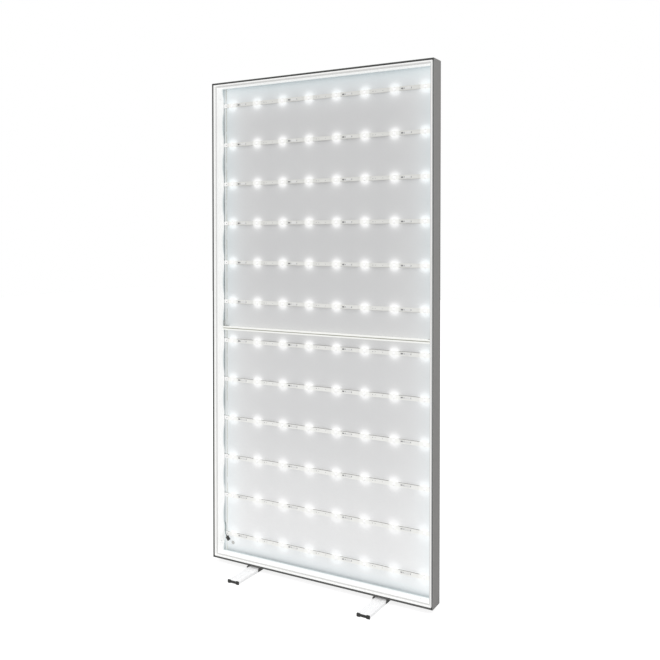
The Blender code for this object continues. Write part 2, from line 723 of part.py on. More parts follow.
def build_grommet(parts, rubber):
    """A spool-shaped grommet in the liner's cable hole, turned about the Y axis."""
    front = -GAP - GROMMET_FLANGE_THICKNESS
    back = LINER_THICKNESS + GAP + GROMMET_FLANGE_THICKNESS
    profile = [
        (GROMMET_BORE, back),
        (GROMMET_FLANGE, back),
        (GROMMET_FLANGE, back - GROMMET_FLANGE_THICKNESS),
        (GROMMET_BARREL, back - GROMMET_FLANGE_THICKNESS),
        (GROMMET_BARREL, front + GROMMET_FLANGE_THICKNESS),
        (GROMMET_FLANGE, front + GROMMET_FLANGE_THICKNESS),
        (GROMMET_FLANGE, front),
        (GROMMET_BORE, front),
    ]
    shape = bmesh.new()
    ring = [shape.verts.new((radius, 0.0, height)) for radius, height in profile]
    for here, following in zip(ring, ring[1:] + ring[:1]):
        shape.edges.new((here, following))
    mesh = bpy.data.meshes.new("inlet_grommet")
    shape.to_mesh(mesh)
    shape.free()
    x, z = grommet_centre()
    grommet = place("inlet_grommet", mesh, rubber, parts, (x, FRONT_Y + LINER_FRONT, z))
    grommet.rotation_euler = (-math.pi / 2, 0.0, 0.0)
    turn = grommet.modifiers.new("turn", "SCREW")
    turn.steps = ROUND_SIDES
    turn.render_steps = ROUND_SIDES
    turn.use_merge_vertices = True
    turn.merge_threshold = WELD
    turn.use_smooth_shade = True


def foot_outline(spread=0.0):
    """The foot's bone-shaped section about its middle, grown outward by spread."""
    half_width = FOOT_WIDTH / 2 + spread
    half_height = FOOT_HEIGHT / 2 + spread
    waist = FOOT_HEIGHT / 2 - FOOT_WAIST + spread
    lobe = FOOT_WIDTH / 2 - FOOT_LOBE + spread
    slope = lobe - FOOT_WAIST
    corner = FOOT_CORNER
    eased = corner * FOOT_CORNER_EASE
    quarter = [
        (half_width, half_height - corner),
        (half_width - eased, half_height - eased),
        (half_width - corner, half_height),
        (lobe, half_height),
        (slope, waist),
    ]
    upper = quarter + [(-x, y) for x, y in reversed(quarter)]
    return upper + [(-x, -y) for x, y in upper]


def ribbed(outline):
    """The same section with raised ribs along the thinned middle of its top."""
    waist = FOOT_HEIGHT / 2 - FOOT_WAIST
    span = FOOT_WIDTH - 2 * (FOOT_LOBE + FOOT_WAIST)
    pitch = span / FOOT_RIBS
    ribs = []
    for index in range(FOOT_RIBS):
        middle = span / 2 - pitch * (index + 0.5)
        ribs.append((middle + FOOT_RIB_WIDTH / 2, waist))
        ribs.append((middle + FOOT_RIB_WIDTH / 2, waist + FOOT_RIB_HEIGHT))
        ribs.append((middle - FOOT_RIB_WIDTH / 2, waist + FOOT_RIB_HEIGHT))
        ribs.append((middle - FOOT_RIB_WIDTH / 2, waist))
    quarter_points = len(outline) // 4
    return outline[:quarter_points] + ribs + outline[quarter_points:]


def foot_hollow(inset):
    half_width = FOOT_WIDTH / 2 - FOOT_WALL - inset
    half_height = FOOT_HEIGHT / 2 - FOOT_WAIST - FOOT_WALL - inset
    return rectangle(-half_width, -half_height, half_width, half_height)


def build_foot(side, sign, parts, cutters, finishes):
    """One foot and what turns with it, all measured from the pivot bolt's axis."""
    alloy, black, steel = finishes
    pivot = bpy.data.objects.new("foot_pivot_" + side, None)
    pivot.location = (sign * FOOT_SPACING / 2, 0.0, 0.0)
    parts.objects.link(pivot)
    middle = FOOT_BOTTOM + FOOT_HEIGHT / 2
    stand_up = Matrix.Translation((0, 0, middle)) @ Matrix.Rotation(math.pi / 2, 4, "X")
    bar_length = FOOT_LENGTH - 2 * (CAP_PLATE + GAP)
    mesh = outline_mesh("foot_bar_" + side, [ribbed(foot_outline()), foot_hollow(0.0)], bar_length)
    mesh.transform(stand_up)
    bar = place("foot_bar_" + side, mesh, alloy, parts)
    bore = BOLT_RADIUS + SHANK_CLEARANCE
    holes = [((0, 0, middle), (0, 0, FOOT_TOP + GAP), bore, bore)]
    combine(bar, rods_mesh("bolt_hole", holes), "DIFFERENCE", cutters)
    access = [((0, 0, -GAP), (0, 0, middle), BOLT_ACCESS_RADIUS, BOLT_ACCESS_RADIUS)]
    combine(bar, rods_mesh("access_hole", access), "DIFFERENCE", cutters)
    pieces = [bar, build_saddle(side, parts, cutters, black)]
    for end, way in (("front", -1), ("rear", 1)):
        pieces.append(build_cap(side, end, way, stand_up, parts, cutters, black))
    for piece in pieces:
        piece.parent = pivot
    build_foot_bolt(side, pivot.location.x, parts, cutters, steel)


def build_cap(side, end, way, stand_up, parts, cutters, black):
    """A moulded end cap: a plate a little larger than the bar, and a spigot inside it."""
    name = f"foot_cap_{side}_{end}"
    mesh = outline_mesh(name, [foot_outline(CAP_OVERHANG)], CAP_PLATE)
    mesh.transform(Matrix.Translation((0, way * (FOOT_LENGTH - CAP_PLATE) / 2, 0)) @ stand_up)
    cap = place(name, mesh, black, parts)
    x, z = foot_hollow(KEY_FIT)[2]
    middle = FOOT_BOTTOM + FOOT_HEIGHT / 2
    outer = way * (FOOT_LENGTH / 2 - CAP_PLATE / 2)
    inner = way * (FOOT_LENGTH / 2 - CAP_PLATE - CAP_SPIGOT)
    low = (-x, min(inner, outer), middle - z)
    high = (x, max(inner, outer), middle + z)
    combine(cap, box_mesh("spigot", low, high), "UNION", cutters)
    return cap


def build_saddle(side, parts, cutters, black):
    """A saddle that seats the frame on the foot, with a cheek down each side of it."""
    inner = FOOT_WIDTH / 2 + GAP
    outer = inner + SADDLE_CHEEK
    cheek_bottom = SADDLE_BOTTOM - SADDLE_CHEEK_DROP
    outline = [
        (-outer, cheek_bottom),
        (-inner, cheek_bottom),
        (-inner, SADDLE_BOTTOM),
        (inner, SADDLE_BOTTOM),
        (inner, cheek_bottom),
        (outer, cheek_bottom),
        (outer, SADDLE_TOP),
        (-outer, SADDLE_TOP),
    ]
    half_length = FRAME_DEPTH / 2 + SADDLE_CHEEK_PROUD
    mesh = outline_mesh("foot_saddle_" + side, [outline], 2 * half_length)
    mesh.transform(Matrix.Rotation(math.pi / 2, 4, "X"))
    saddle = place("foot_saddle_" + side, mesh, black, parts)
    for way in (-1, 1):
        near = way * (FRAME_DEPTH / 2 - SADDLE_SETBACK)
        far = way * (half_length + GAP)
        low = (-inner, min(near, far), cheek_bottom - GAP)
        high = (inner, max(near, far), SADDLE_TOP + GAP)
        combine(saddle, box_mesh("end_notch", low, high), "DIFFERENCE", cutters)
    bore = BOLT_RADIUS + SHANK_CLEARANCE
    hole = [((0, 0, SADDLE_BOTTOM - GAP), (0, 0, SADDLE_TOP + GAP), bore, bore)]
    combine(saddle, rods_mesh("bolt_hole", hole), "DIFFERENCE", cutters)
    return saddle


def build_foot_bolt(side, x, parts, cutters, steel):
    """The pivot bolt, with its head inside the foot, and the nut plate inside the frame."""
    plate_low = FRAME_BOTTOM + WALL + GAP
    plate_top = plate_low + NUT_THICKNESS
    half_depth = FRAME_DEPTH / 2 - CHAMBER_FRONT - KEY_FIT
    low = (-NUT_LENGTH / 2, -half_depth, plate_low)
    high = (NUT_LENGTH / 2, half_depth, plate_top)
    name = "foot_nut_plate_" + side
    plate = place(name, box_mesh(name, low, high), steel, parts, (x, 0, 0))
    bore = BOLT_RADIUS + SHANK_CLEARANCE
    hole = [((0, 0, plate_low - GAP), (0, 0, plate_top + GAP), bore, bore)]
    combine(plate, rods_mesh("thread", hole), "DIFFERENCE", cutters)
    head_top = FOOT_TOP - FOOT_WAIST - FOOT_WALL - GAP
    head_low = head_top - BOLT_HEAD_HEIGHT
    name = "foot_bolt_" + side
    key_end = head_low + BOLT_SOCKET_DEPTH
    shank = [((0, 0, key_end + GAP), (0, 0, plate_top + GAP), BOLT_RADIUS, BOLT_RADIUS)]
    head = [((0, 0, head_low), (0, 0, head_top), BOLT_HEAD_RADIUS, BOLT_HEAD_RADIUS)]
    key = [((0, 0, head_low - GAP), (0, 0, key_end), BOLT_SOCKET_RADIUS, BOLT_SOCKET_RADIUS)]
    bolt = place(name, rods_mesh(name, shank), steel, parts, (x, 0, 0))
    combine(bolt, rods_mesh("head", head), "UNION", cutters)
    combine(bolt, rods_mesh("hex_key", key, HEX_SIDES), "DIFFERENCE", cutters)
    smooth(bolt)


def build():
    clear_scene()
    parts = new_collection("led_panel_light")
    cutters = new_collection("cutters")
    alloy = material_anodised()
    steel = material_steel()
    white = material_white_metal()
    black = material_black_plastic()
    build_frame(parts, cutters, alloy)
    build_corner_keys(parts, steel)
    build_grub_screws(parts, cutters, steel)
    build_liner(parts, cutters, material_liner())
    build_beads(parts, material_silicone())
    build_rails(parts, white)
    build_led_bars(parts, cutters, material_led())
    build_crossbar(parts, cutters, material_crossbar(), steel)
    build_harness(parts, material_lead())
    build_socket(parts, cutters, black)
    build_grommet(parts, material_white_rubber())
    foot_finishes = (material_foot(), black, steel)
    build_foot("left", -1, parts, cutters, foot_finishes)
    build_foot("right", 1, parts, cutters, foot_finishes)


build()
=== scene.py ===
"""Looks of the free-standing LED panel light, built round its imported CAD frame. Metres, +Z up."""

import math

import bmesh
import bpy
from mathutils import Matrix, Vector, noise


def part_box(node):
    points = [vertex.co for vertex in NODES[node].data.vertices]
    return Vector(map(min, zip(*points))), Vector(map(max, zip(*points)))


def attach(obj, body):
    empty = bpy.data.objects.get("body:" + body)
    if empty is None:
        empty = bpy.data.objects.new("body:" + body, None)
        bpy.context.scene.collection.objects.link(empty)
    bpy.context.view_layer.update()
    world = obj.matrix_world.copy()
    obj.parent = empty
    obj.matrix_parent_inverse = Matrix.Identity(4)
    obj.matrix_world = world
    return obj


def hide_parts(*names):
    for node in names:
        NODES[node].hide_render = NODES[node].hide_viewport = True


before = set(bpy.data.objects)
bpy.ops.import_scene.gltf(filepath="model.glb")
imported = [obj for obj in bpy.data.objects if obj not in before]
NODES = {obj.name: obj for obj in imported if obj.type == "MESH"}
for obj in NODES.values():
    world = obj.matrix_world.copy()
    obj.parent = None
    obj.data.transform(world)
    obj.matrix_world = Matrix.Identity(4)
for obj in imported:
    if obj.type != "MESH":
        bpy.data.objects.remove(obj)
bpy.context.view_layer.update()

# Places taken from the CAD frame
LEFT_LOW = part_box("frame_profile_left")[0]
RIGHT_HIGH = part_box("frame_profile_right")[1]
FRAME_LOW = Vector((LEFT_LOW.x, LEFT_LOW.y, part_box("frame_profile_bottom")[0].z))
FRAME_HIGH = Vector((RIGHT_HIGH.x, RIGHT_HIGH.y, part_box("frame_profile_top")[1].z))
HALF_WIDTH = FRAME_HIGH.x
FRONT = FRAME_LOW.y
ROWS = 12
ROW_Z = [sum(corner.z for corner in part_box(f"led_bar_{row:02d}")) / 2 for row in range(1, ROWS + 1)]
ROW_PITCH = ROW_Z[0] - ROW_Z[1]
LED_COUNT = 8
LED_FROM_SIDE = 0.059               # the outer LEDs' centres, from the frame's outer faces
LED_PITCH = (2 * HALF_WIDTH - 2 * LED_FROM_SIDE) / (LED_COUNT - 1)
LED_X = [(i - (LED_COUNT - 1) / 2) * LED_PITCH for i in range(LED_COUNT)]
BAR_LOW, BAR_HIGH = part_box("led_bar_01")
BAR_HALF = (BAR_HIGH.z - BAR_LOW.z) / 2
LENS_PROUD = 0.0019                 # how far the CAD lens crowns stand in front of the board
BOARD_Y = BAR_LOW.y + LENS_PROUD
LANE_DEPTH = 0.0606                 # the harness's depth in the rear recess
LINER_LOW, LINER_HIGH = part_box("rear_liner")
COAT_INSET = 0.0067                 # where the white coat starts, from the frame's outer face
COAT_REAR = 0.0664                  # depth at which it ends
LIP_FAR = 0.0104                    # inner side of the frame's front lip, from its outer face
LEDGE_DEPTH = 0.0100
REAR_LEDGE = 0.0580                 # depth at which the rear recess starts
RAIL_LINE = 0.0252                  # the rails' olive line, from the frame's outer face

# What sits on a bar's board: places along the bar from an LED, and sizes in X, Y, Z
CHIP_OFFSET = 0.0330
CHIP_SIZE = (0.0088, 0.0014, 0.0040)
CHIP_LEGS = 4
LEG_PITCH = 0.0024
LEG_SIZE = (0.0008, 0.0004, 0.0013)
BLOCK_OFFSET = 0.0560
BLOCK_SIZE = (0.0240, 0.0022, 0.0085)
BLOCK_PAD_SIZE = (0.0026, 0.0005, 0.0058)
RESISTOR_OFFSETS = (0.036, 0.047, 0.078)
LENS_PAD_SIZE = (0.0050, 0.0003, 0.0006)
CLIP_SIZE = (0.0160, 0.0026, 0.0160)
CLIP_FROM_END = 0.0062              # a clip's centre, from the bar's end
LEAD_RADIUS = 0.0007
STITCH_PITCH = 0.0045
STITCH_INSET = 0.0024
WEAVE_PITCH = 0.0011

# Light
FULL_WHITE = (1.0, 1.0, 1.0, 1.0)
AMBIENT = 0.78                      # light from all round, next to a backdrop seen at 1
OVERHEAD = 0.45
FLOOR_SEEN = 0.80                   # the floor's own light, as the camera sees it
FLOOR_SHED = 0.25                   # and as it falls on the panel

# Camera: place in metres, turns in degrees, lens and sensor in millimetres
CAMERA_PLACE = (1.62102, -2.74099, 1.36965)
CAMERA_DIP = 1.083
CAMERA_TURN = 29.79
CAMERA_SENSOR = 36.0
CAMERA_LENS = 44.04256
CAMERA_SHIFT = -0.115803            # share of the sensor's width


# ---------------------------------------------------------------- materials

class Paint:
    """A Principled material with short calls for its nodes."""

    def __init__(self, name, color=(0.8, 0.8, 0.8), rough=0.5, metal=0.0, **extra):
        self.mat = bpy.data.materials.new(name)
        self.mat.use_nodes = True
        self.tree = self.mat.node_tree
        self.shader = self.tree.nodes["Principled BSDF"]
        self.set("Base Color", (*color, 1.0))
        self.set("Roughness", rough)
        self.set("Metallic", metal)
        for key, value in extra.items():
            self.set(key.replace("_", " "), value)
        self.mat.diffuse_color = (*color, 1.0)
        self.coords = self.tree.nodes.new("ShaderNodeTexCoord").outputs["Object"]

    def set(self, socket, value):
        self.shader.inputs[socket].default_value = value

    def feed(self, socket, source):
        self.tree.links.new(source, self.shader.inputs[socket])

    def node(self, kind, inputs=(), **props):
        made = self.tree.nodes.new(kind)
        for key, value in props.items():
            setattr(made, key, value)
        for key, value in dict(inputs).items():
            if isinstance(value, bpy.types.NodeSocket):
                self.tree.links.new(value, made.inputs[key])
            else:
                made.inputs[key].default_value = value
        return made

    def math(self, operation, a, b=0.0, c=0.0, clamp=False):
        return self.node("ShaderNodeMath", {0: a, 1: b, 2: c}, operation=operation,
                         use_clamp=clamp).outputs[0]

    def axes(self, source=None):
        split = self.node("ShaderNodeSeparateXYZ", {0: source or self.coords})
        return split.outputs[0], split.outputs[1], split.outputs[2]

    def vector(self, x=0.0, y=0.0, z=0.0):
        return self.node("ShaderNodeCombineXYZ", {0: x, 1: y, 2: z}).outputs[0]

    def stretch(self, scale):
        return self.node("ShaderNodeMapping", {"Vector": self.coords, "Scale": scale}).outputs[0]

    def noise(self, scale, detail=3.0, rough=0.5, vector=None):
        return self.node("ShaderNodeTexNoise", {"Vector": vector or self.coords, "Scale": scale,
                                                "Detail": detail, "Roughness": rough}).outputs[0]

    def remap(self, value, low, high, to_low=0.0, to_high=1.0, smooth=True):
        return self.node("ShaderNodeMapRange",
                         {0: value, 1: low, 2: high, 3: to_low, 4: to_high},
                         interpolation_type="SMOOTHSTEP" if smooth else "LINEAR").outputs[0]

    def blend(self, share, a, b, kind="MIX"):
        made = self.tree.nodes.new("ShaderNodeMix")
        made.data_type = "RGBA"
        made.blend_type = kind
        for index, value in ((0, share), (6, a), (7, b)):
            if isinstance(value, bpy.types.NodeSocket):
                self.tree.links.new(value, made.inputs[index])
            elif index == 0:
                made.inputs[0].default_value = value
            else:
                made.inputs[index].default_value = (*value, 1.0)
        return made.outputs[2]

    def bump(self, height, strength, distance):
        made = self.node("ShaderNodeBump", {"Height": height, "Strength": strength,
                                            "Distance": distance})
        self.feed("Normal", made.outputs[0])

    def mottle(self, color, share, scale=6.0, detail=4.0):
        """The base colour with a soft uneven darkening."""
        cloud = self.noise(scale, detail)
        spread = self.remap(cloud, 0.3, 0.7)
        darker = tuple(c * (1 - share) for c in color)
        return self.blend(spread, darker, color)

    def edge_distance(self):
        """Distance inward from the frame's outline, seen from the front."""
        x, _, z = self.axes()
        beside = self.math("SUBTRACT", HALF_WIDTH, self.math("ABSOLUTE", x))
        below = self.math("SUBTRACT", z, FRAME_LOW.z)
        above = self.math("SUBTRACT", FRAME_HIGH.z, z)
        return self.math("MINIMUM", beside, self.math("MINIMUM", below, above))

    def led_offsets(self):
        """Offsets in X and Z to the nearest LED of the grid."""
        x, _, z = self.axes()
        columns = self.math("FRACT", self.math("DIVIDE", x, LED_PITCH))
        dx = self.math("MULTIPLY", self.math("SUBTRACT", columns, 0.5), LED_PITCH)
        raised = self.math("SUBTRACT", z, ROW_Z[-1] - ROW_PITCH / 2)
        rows = self.math("FRACT", self.math("DIVIDE", raised, ROW_PITCH))
        dz = self.math("MULTIPLY", self.math("SUBTRACT", rows, 0.5), ROW_PITCH)
        return dx, dz

    def bell(self, distance, width):
        """1 at distance 0, falling off smoothly with the given width."""
        ratio = self.math("DIVIDE", distance, width)
        square = self.math("MULTIPLY", ratio, ratio)
        return self.math("EXPONENT", self.math("MULTIPLY", square, -1.0))

    def led_radius(self):
        """Distance to the nearest LED, seen from the front."""
        dx, dz = self.led_offsets()
        square = self.math("ADD", self.math("MULTIPLY", dx, dx), self.math("MULTIPLY", dz, dz))
        return self.math("SQRT", square)

    def from_side(self):
        """Distance from the nearer side face of the frame."""
        return self.math("SUBTRACT", HALF_WIDTH, self.math("ABSOLUTE", self.axes()[0]))

    def glow(self, peak, width, most):
        """Painted light spilled round each LED, level at its middle."""
        spill = self.math("MULTIPLY", self.bell(self.led_radius(), width), peak)
        return self.math("MINIMUM", spill, most)


def brushed_frame():
    """Anodised grey outside and in the groove, white on the lip, the ledge and the inner walls, with
    painted shade on the front rim, in the groove and along the rear edge, a painted highlight near
    the front, and painted LED light and bluish shade on the white walls.
    """
    p = Paint("frame_anodised_and_white", (0.22, 0.21, 0.20), 0.42, 0.4)
    _, y, z = p.axes()
    inset = p.edge_distance()
    depth = p.math("SUBTRACT", y, FRONT)
    inside = p.remap(inset, COAT_INSET, COAT_INSET + 0.0003)
    inside = p.math("MULTIPLY", inside, p.remap(depth, COAT_REAR + 0.0004, COAT_REAR))
    streak = p.noise(900.0, 2.0, 0.6, p.vector(inset, depth, 0.0))
    grain = p.noise(38.0, 4.0, 0.6)
    tone = p.blend(p.remap(streak, 0.3, 0.7), (0.268, 0.262, 0.255), (0.320, 0.313, 0.305))
    tone = p.blend(p.math("MULTIPLY", p.remap(grain, 0.35, 0.7), 0.25), tone, (0.24, 0.235, 0.228))
    # painted shade on the front rim, weaker along the bottom
    rim_shade_strength = p.remap(z, FRAME_LOW.z + 0.02, FRAME_LOW.z + 0.06, 0.24, 0.76)
    rim_dark = p.math("MULTIPLY", p.remap(depth, 0.0016, 0.0010), rim_shade_strength)
    tone = p.blend(rim_dark, tone, (0.060, 0.066, 0.064))
    # painted shade in the groove
    in_groove = p.remap(inset, 0.0012, 0.0016)
    in_groove = p.math("MULTIPLY", in_groove, p.remap(depth, 0.030, 0.028))
    tone = p.blend(in_groove, tone, (0.115, 0.118, 0.114))
    # painted shade along the rear edge of the grey faces
    back_dark = p.math("MULTIPLY", p.remap(depth, 0.0590, 0.0615), 0.40)
    tone = p.blend(back_dark, tone, (0.13, 0.125, 0.12))
    # painted highlight in a band near the front of the grey faces
    front_light = p.remap(depth, 0.0110, 0.0070)
    front_light = p.math("MULTIPLY", front_light, p.remap(depth, 0.0014, 0.0022))
    tone = p.blend(p.math("MULTIPLY", front_light, 0.4), tone, (0.42, 0.42, 0.415))
    coat = p.mottle((0.82, 0.82, 0.81), 0.02, 9.0)
    p.feed("Metallic", p.math("MULTIPLY", p.math("SUBTRACT", 1.0, inside), 0.4))
    p.feed("Roughness", p.math("ADD", p.math("MULTIPLY", streak, 0.12), 0.42))
    # painted light from the LEDs on the white walls: strong abreast of each row, weak behind the LED
    # plane, where painted bluish shade takes over; none on the ledge or in the rear recess
    _, dz = p.led_offsets()
    wavy = p.math("MULTIPLY", p.bell(dz, 0.036), 0.018)
    behind = p.math("SUBTRACT", depth, wavy)
    share = p.remap(behind, 0.0570, 0.0430)
    level = p.math("ADD", p.math("MULTIPLY", share, 0.305), 0.02)
    shade = p.math("MULTIPLY", p.math("SUBTRACT", 1.0, share), inside)
    shaded = p.blend(p.math("MULTIPLY", shade, 0.75), coat, (0.60, 0.69, 0.71))
    p.feed("Base Color", p.blend(inside, tone, shaded))
    ledge = p.remap(inset, LIP_FAR + 0.0001, LIP_FAR + 0.0003)
    ledge = p.math("MULTIPLY", ledge, p.math("COMPARE", depth, LEDGE_DEPTH, 0.00015))
    unlit = p.math("MULTIPLY", ledge, 0.95)
    level = p.math("MULTIPLY", level, p.math("SUBTRACT", 1.0, unlit))
    before_recess = p.remap(depth, REAR_LEDGE + 0.0004, REAR_LEDGE)
    level = p.math("MULTIPLY", level, before_recess)
    p.feed("Emission Color", p.blend(share, (0.88, 0.97, 1.0), (1.0, 1.0, 0.995)))
    p.feed("Emission Strength", p.math("MULTIPLY", level, inside))
    p.bump(streak, 0.25, 0.0002)
    return p.mat


def led_board():
    """White solder mask with faint copper traces under it, with painted light round each LED and
    painted shade along one edge.
    """
    p = Paint("led_board", (0.72, 0.72, 0.69), 0.35)
    z = p.axes()[2]
    _, dz = p.led_offsets()
    across = p.math("ABSOLUTE", dz)
    trace = p.remap(across, 0.0030, 0.0034)
    trace = p.math("MULTIPLY", trace, p.remap(across, 0.0052, 0.0048))
    ticks = p.noise(60.0, 2.0, 0.5, p.stretch((1.0, 0.0, 0.3)))
    trace = p.math("MULTIPLY", trace, p.remap(ticks, 0.42, 0.46))
    tone = p.blend(p.math("MULTIPLY", trace, 0.35), (0.72, 0.72, 0.69), (0.62, 0.62, 0.57))
    away = p.remap(p.led_radius(), 0.014, 0.026)
    # painted shade along one edge: above the lower bars and below the upper ones
    lower_half = p.math("LESS_THAN", z, (ROW_Z[5] + ROW_Z[6]) / 2)
    turned = p.math("SUBTRACT", p.math("MULTIPLY", lower_half, 2.0), 1.0)
    edge_shade = p.remap(p.math("MULTIPLY", dz, turned), BAR_HALF - 0.0017, BAR_HALF - 0.0013)
    strength = p.math("ADD", p.math("MULTIPLY", lower_half, 0.5), 0.4)
    edge_shade = p.math("MULTIPLY", p.math("MULTIPLY", edge_shade, away), strength)
    tone = p.blend(edge_shade, tone, (0.26, 0.25, 0.24))
    p.feed("Base Color", tone)
    # painted LED light on the board: stronger on the lower rows and round each LED, none on the
    # shaded edge
    p.set("Emission Color", FULL_WHITE)
    lower = p.remap(z, ROW_Z[2], ROW_Z[9])
    spill = p.remap(p.led_radius(), 0.025, 0.015, 0.0, 0.20)
    base = p.math("ADD", p.math("MULTIPLY", lower, 0.14), 0.15)
    lit = p.math("MINIMUM", p.math("ADD", base, spill), 0.38)
    level = p.math("MULTIPLY", lit, p.math("SUBTRACT", 1.0, edge_shade))
    p.feed("Emission Strength", level)
    p.bump(p.math("ADD", p.noise(700.0, 2.0), p.math("MULTIPLY", trace, 0.6)), 0.12, 0.0002)
    return p.mat


def lens():
    """Clear moulded lens, lit from inside and brightest at its crown."""
    p = Paint("led_lens_lit", (0.80, 0.80, 0.80), 0.2, Specular_IOR_Level=0.25)
    p.set("Emission Color", FULL_WHITE)
    p.feed("Emission Strength", p.remap(p.led_radius(), 0.0072, 0.0010, 0.32, 0.42))
    p.feed("Roughness", p.remap(p.noise(400.0), 0.3, 0.7, 0.16, 0.26))
    return p.mat


def liner_fabric():
    """Stretched white fabric: plain weave, with painted light in soft bands from the floor and the
    LEDs, and painted shade near the frame.
    """
    p = Paint("liner_fabric", (0.70, 0.705, 0.715), 0.85, Sheen_Weight=0.25)
    x, _, z = p.axes()
    warp = p.math("SINE", p.math("MULTIPLY", x, 2 * math.pi / WEAVE_PITCH))
    weft = p.math("SINE", p.math("MULTIPLY", z, 2 * math.pi / WEAVE_PITCH))
    weave = p.math("MULTIPLY", warp, weft)
    thread = p.noise(420.0, 3.0, 0.6, p.stretch((1.0, 1.0, 0.15)))
    cross = p.noise(420.0, 3.0, 0.6, p.stretch((0.15, 1.0, 1.0)))
    slub = p.math("MULTIPLY", p.math("ADD", thread, cross), 0.5)
    cloud = p.noise(2.2, 3.0, 0.5)
    tone = p.blend(p.remap(cloud, 0.3, 0.7), (0.775, 0.777, 0.782), (0.795, 0.797, 0.80))
    thin = p.math("MULTIPLY", p.remap(slub, 0.4, 0.6), 0.08)
    tone = p.blend(thin, tone, (0.70, 0.705, 0.715))
    # painted bluish shade near the frame, stronger higher up
    inset = p.edge_distance()
    edge = p.bell(inset, 0.080)
    high = p.remap(z, 0.9, 1.3, 0.45, 1.0)
    bluish = p.math("MULTIPLY", edge, high)
    p.feed("Base Color", p.blend(bluish, tone, (0.765, 0.815, 0.835)))
    # painted light: brighter towards the bottom, near the sides and the top, and round each LED;
    # painted shade along the bottom edge; bluish near the frame
    rise = p.math("ADD", p.remap(z, 1.35, 0.62, 0.0, 0.07), p.remap(z, 0.70, 0.14, 0.0, 0.13))
    side = p.math("MULTIPLY", p.bell(p.from_side(), 0.13), 0.085)
    top = p.math("MULTIPLY", p.bell(p.math("SUBTRACT", FRAME_HIGH.z, z), 0.10), 0.15)
    low = p.math("MULTIPLY", p.bell(p.math("SUBTRACT", z, FRAME_LOW.z), 0.027), -0.24)
    border = p.math("ADD", side, p.math("ADD", top, low))
    tail = p.math("MULTIPLY", p.bell(p.led_radius(), 0.040), 0.06)
    halo = p.math("ADD", p.glow(0.60, 0.0195, 0.35), tail)
    rest = p.math("ADD", halo, p.math("ADD", rise, border))
    p.feed("Emission Color", p.blend(edge, (1.0, 1.0, 1.0), (0.90, 0.97, 1.0)))
    p.feed("Emission Strength", p.math("MINIMUM", rest, 0.36))
    p.bump(p.math("ADD", p.math("MULTIPLY", weave, 0.5), slub), 0.3, 0.0002)
    return p.mat


def coated(name, color, rough, glowing=0.0, metal=0.0, speck=600.0):
    """A satin coat: fine orange peel and a faint unevenness, with an even painted glow where glowing
    is set.
    """
    p = Paint(name, color, rough, metal)
    p.feed("Base Color", p.mottle(color, 0.05, 14.0))
    peel = p.noise(speck, 2.0)
    p.feed("Roughness", p.remap(peel, 0.3, 0.7, rough - 0.05, rough + 0.05))
    # painted LED light: an even glow
    if glowing:
        p.set("Emission Color", FULL_WHITE)
        p.set("Emission Strength", glowing)
    p.bump(peel, 0.12, 0.0002)
    return p.mat


def rail_white():
    """Satin white with a thin olive line of painted shade along the edge that faces the panel's
    middle, and painted LED light.
    """
    p = Paint("rail_white", (0.77, 0.80, 0.81), 0.45)
    z = p.axes()[2]
    # painted shade: a patchy olive line along the edge facing the panel's middle
    line_patchiness = p.remap(p.noise(24.0, 2.0), 0.40, 0.50, 0.35, 1.0)
    line = p.math("MULTIPLY", p.remap(p.from_side(), RAIL_LINE, RAIL_LINE + 0.0004), line_patchiness)
    coat = p.mottle((0.77, 0.80, 0.81), 0.04, 14.0)
    p.feed("Base Color", p.blend(p.math("MULTIPLY", line, 0.7), coat, (0.44, 0.45, 0.37)))
    # painted LED light, stronger towards the bottom
    p.set("Emission Color", (1.0, 1.0, 0.98, 1.0))
    p.feed("Emission Strength", p.remap(z, 1.0, 0.2, 0.15, 0.24))
    p.bump(p.noise(600.0, 2.0), 0.12, 0.0002)
    return p.mat


def crossbar_white():
    """Satin white with painted olive shade in the groove along its front, and painted LED light
    elsewhere.
    """
    low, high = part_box("crossbar")
    p = Paint("crossbar_white", (0.82, 0.82, 0.79), 0.38)
    _, y, z = p.axes()
    off = p.math("ABSOLUTE", p.math("SUBTRACT", z, (low.z + high.z) / 2))
    # painted shade in the groove along the front, patchy
    groove_shade = p.remap(off, 0.0020, 0.0016)
    groove_shade = p.math("MULTIPLY", groove_shade, p.remap(y, low.y + 0.0024, low.y + 0.0020))
    line_patchiness = p.remap(p.noise(9.0, 3.0), 0.35, 0.65, 0.65, 1.0)
    coat = p.mottle((0.82, 0.82, 0.79), 0.04, 14.0)
    p.feed("Base Color", p.blend(p.math("MULTIPLY", groove_shade, line_patchiness), coat, (0.50, 0.51, 0.44)))
    # painted LED light, none in the groove
    p.set("Emission Color", (1.0, 1.0, 0.97, 1.0))
    p.feed("Emission Strength", p.math("MULTIPLY", p.math("SUBTRACT", 1.0, groove_shade), 0.32))
    p.bump(p.noise(600.0, 2.0), 0.12, 0.0002)
    return p.mat


def foot_metal():
    """Satin anodised aluminium with fine lines along the extrusion, and an even painted glow."""
    p = Paint("foot_satin_aluminium", (0.87, 0.87, 0.875), 0.38, 0.15)
    lines = p.noise(700.0, 2.0, 0.6, p.stretch((1.0, 0.02, 1.0)))
    grain = p.remap(lines, 0.3, 0.7)
    p.feed("Base Color", p.blend(grain, (0.84, 0.84, 0.845), (0.90, 0.90, 0.905)))
    p.feed("Roughness", p.remap(lines, 0.3, 0.7, 0.32, 0.45))
    # painted light: an even glow that whitens the feet
    p.set("Emission Color", FULL_WHITE)
    p.set("Emission Strength", 0.20)
    p.bump(lines, 0.2, 0.0002)
    return p.mat


